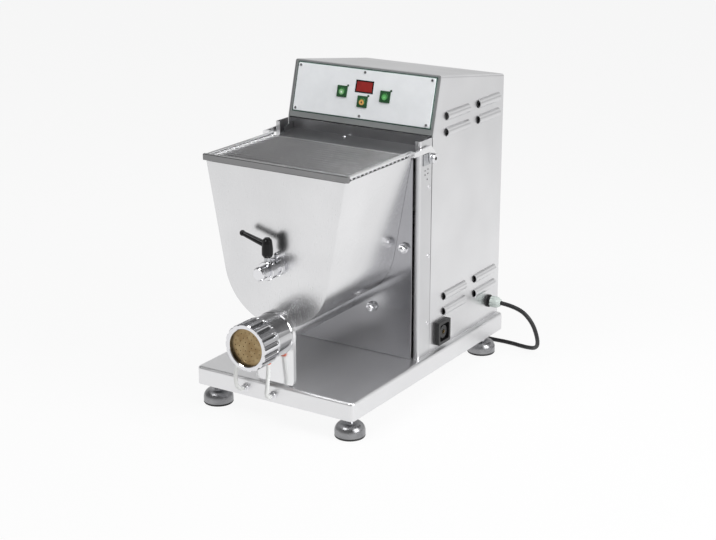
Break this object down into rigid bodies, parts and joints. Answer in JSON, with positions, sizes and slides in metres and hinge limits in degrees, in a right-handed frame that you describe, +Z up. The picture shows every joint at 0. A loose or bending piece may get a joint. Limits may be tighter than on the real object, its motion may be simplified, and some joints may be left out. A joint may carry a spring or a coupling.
{
  "type": "electric pasta maker",
  "caption": "Countertop pasta extruder with a mixing tank under a hinged wire guard, an auger head with a fluted ring nut, and a slanted panel of buttons on a louvred steel housing.",
  "frame": {"origin": "on the floor under the middle of the machine's own box, cord left out", "axes": "+Z up, the nozzle points along -Y, the side with the socket and cord is +X"},
  "size_m": [0.45, 0.8699, 0.616],
  "materials": {
    "satin_steel": "satin stainless sheet",
    "polished_steel": "mirror polished stainless sheet",
    "bright_steel": "polished stainless",
    "turned_steel": "turned stainless",
    "zinc_steel": "zinc plated",
    "bronze": "machined bronze",
    "cast_aluminium": "cast and machined",
    "motor_paint": "painted casting",
    "black_plastic": "moulded, fine grain",
    "gloss_black": "smooth",
    "fascia_metal": "printed panel sheet",
    "green_rubber": "moulded gasket",
    "green_plastic": "square surround",
    "button_plastic": "translucent cap",
    "amber_plastic": "translucent cap",
    "display_red": "red filter",
    "led_plastic": "clear lens",
    "black_rubber": "moulded",
    "cord_rubber": "round mains lead",
    "hose_plastic": "translucent hose",
    "collar_plastic": "moulded collar",
    "gland_plastic": "moulded nylon",
    "board": "circuit board"
  },
  "bodies": {
    "machine": {"base_tray": "satin_steel", "foot_plates": "zinc_steel", "foot_studs": "bright_steel", "foot_bells": "bright_steel", "foot_pads": "black_rubber", "casing_cover": "satin_steel", "back_panel": "satin_steel", "casing_screws": "bright_steel", "front_strip_left": "satin_steel", "front_strip_right": "satin_steel", "front_plate": "polished_steel", "ledge": "polished_steel", "panel_frame": "satin_steel", "panel_gasket": "green_rubber", "fascia": "fascia_metal", "button_bezels": "green_plastic", "status_leds": "led_plastic", "panel_screws": "bright_steel", "display_bezel": "gloss_black", "display_window": "display_red", "control_board": "board", "tank": "polished_steel", "dome_nuts": "bright_steel", "plate_studs": "zinc_steel", "bearing_plate": "cast_aluminium", "shaft_bearings": "turned_steel", "auger_seal": "black_rubber", "extrusion_head": "bright_steel", "hose_collars": "collar_plastic", "head_support": "polished_steel", "front_boss": "bright_steel", "locating_stud": "bright_steel", "lever_stud": "zinc_steel", "hinge_blocks": "black_plastic", "gearbox": "cast_aluminium", "motor": "motor_paint", "side_socket": "black_plastic", "gland_body": "black_plastic", "gland_nut": "gland_plastic", "power_cord": "cord_rubber", "cord_coil": "cord_rubber", "plug": "black_rubber", "hose_fittings": "bright_steel", "hose_right": "hose_plastic", "hose_left": "hose_plastic"},
    "mixer_rotor": {"mixer": "turned_steel", "mixer_gear": "turned_steel"},
    "auger_rotor": {"auger": "turned_steel", "auger_gear": "turned_steel"},
    "bearing_pin": {"mixer_pin": "bright_steel"},
    "lever": {"clamp_lever": "black_plastic"},
    "lever_button": {"lever_cap": "gloss_black"},
    "die_plate": {"die": "bronze"},
    "nut": {"ring_nut": "bright_steel"},
    "guard_lid": {"guard_grid": "bright_steel", "guard_arms": "bright_steel", "hinge_pins": "bright_steel"},
    "key_left": {"button_left": "button_plastic"},
    "key_middle": {"button_middle": "amber_plastic"},
    "key_right": {"button_right": "button_plastic"}
  },
  "joints": [
    {"name": "guard_hinge", "type": "hinge", "parent": "machine", "child": "guard_lid", "pos_m": [0, 0.0385, 0.468], "axis": [-1, 0, 0], "range_deg": [0, 75]},
    {"name": "mixer_turn", "type": "hinge", "parent": "machine", "child": "mixer_rotor", "pos_m": [0, -0.0065, 0.301], "axis": [0, 1, 0], "continuous": true},
    {"name": "auger_turn", "type": "hinge", "parent": "machine", "child": "auger_rotor", "pos_m": [0, -0.0065, 0.175], "axis": [0, 1, 0], "continuous": true},
    {"name": "pin_slide", "type": "slide", "parent": "machine", "child": "bearing_pin", "axis": [0, -1, 0], "range_m": [0, 0.032]},
    {"name": "lever_turn", "type": "hinge", "parent": "machine", "child": "lever", "pos_m": [0, -0.2575, 0.338], "axis": [0, 0, 1], "range_deg": [0, 110]},
    {"name": "lever_press", "type": "slide", "parent": "lever", "child": "lever_button", "axis": [0, 0, -1], "range_m": [0, 0.002], "stiffness_N_per_m": 300},
    {"name": "die_slide", "type": "slide", "parent": "machine", "child": "die_plate", "axis": [0, -1, 0], "range_m": [0, 0.012]},
    {"name": "nut_turn", "type": "hinge", "parent": "die_plate", "child": "nut", "pos_m": [0, -0.3065, 0.175], "axis": [0, -1, 0], "range_deg": [0, 1080]},
    {"name": "key_left_press", "type": "slide", "parent": "machine", "child": "key_left", "axis": [0, 0.9653, -0.2612], "range_m": [0, 0.002], "stiffness_N_per_m": 400},
    {"name": "key_middle_press", "type": "slide", "parent": "machine", "child": "key_middle", "axis": [0, 0.9653, -0.2612], "range_m": [0, 0.002], "stiffness_N_per_m": 400},
    {"name": "key_right_press", "type": "slide", "parent": "machine", "child": "key_right", "axis": [0, 0.9653, -0.2612], "range_m": [0, 0.002], "stiffness_N_per_m": 400}
  ],
  "couplings": [
    {"joint": "auger_turn", "follows": "mixer_turn", "ratio": -2},
    {"joint": "die_slide", "follows": "nut_turn", "m_per_rad": 0.00063662}
  ]
}
